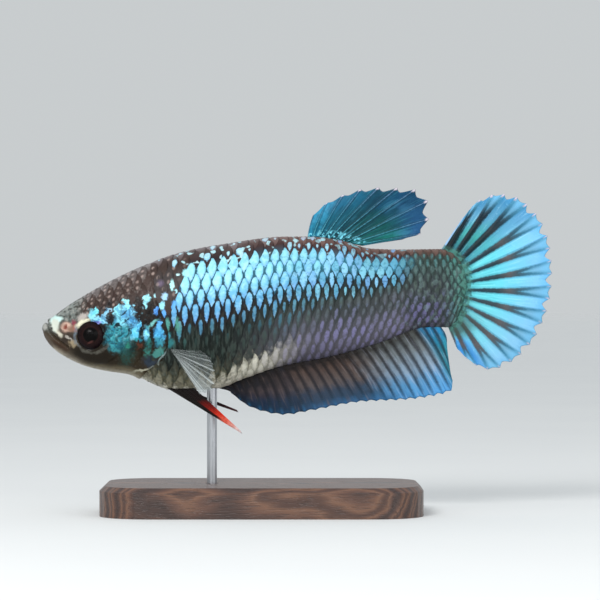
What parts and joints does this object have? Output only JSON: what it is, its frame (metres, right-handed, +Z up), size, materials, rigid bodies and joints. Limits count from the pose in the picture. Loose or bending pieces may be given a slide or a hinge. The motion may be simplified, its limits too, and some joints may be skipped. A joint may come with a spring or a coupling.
{
  "type": "betta fish",
  "caption": "Life-size still model of a short-finned female betta fish, swimming a little nose-down, held by one rod on a flat display base.",
  "frame": {"origin": "middle of the model's footprint, on the surface that the stand's base rests on", "axes": "+Z up; the fish faces -X and its left side faces -Y"},
  "size_m": [0.051, 0.018, 0.0326],
  "materials": {
    "head_skin": "wet brown skin with turquoise patches",
    "jaw_skin": "wet olive-brown skin, paler at the lip",
    "gill_skin": "wet turquoise plates with a metallic sheen",
    "flank_skin": "cyan scales with dark rims and a metallic sheen",
    "dorsal_membrane": "teal-blue fin membrane with pale rays",
    "tail_membrane": "cyan rays with dark stripes between them",
    "anal_membrane": "brown near the body, navy to bright blue at the margin",
    "clear_membrane": "translucent grey fin membrane",
    "pelvic_membrane": "black fin with a red streak and a pale tip",
    "eye": "dark glossy eye with a pale arc above",
    "walnut": "satin dark walnut",
    "steel": "satin steel rod"
  },
  "bodies": {
    "root": {"head": "head_skin", "lower_jaw": "jaw_skin", "gill_cover_left": "gill_skin", "gill_cover_right": "gill_skin", "trunk": "flank_skin", "tail_stalk": "flank_skin", "dorsal_fin": "dorsal_membrane", "tail_fin": "tail_membrane", "anal_fin": "anal_membrane", "pectoral_fin_left": "clear_membrane", "pectoral_fin_right": "clear_membrane", "pelvic_fin_left": "pelvic_membrane", "pelvic_fin_right": "pelvic_membrane", "eye_left": "eye", "eye_right": "eye", "stand_base": "walnut", "stand_rod": "steel"}
  },
  "joints": []
}
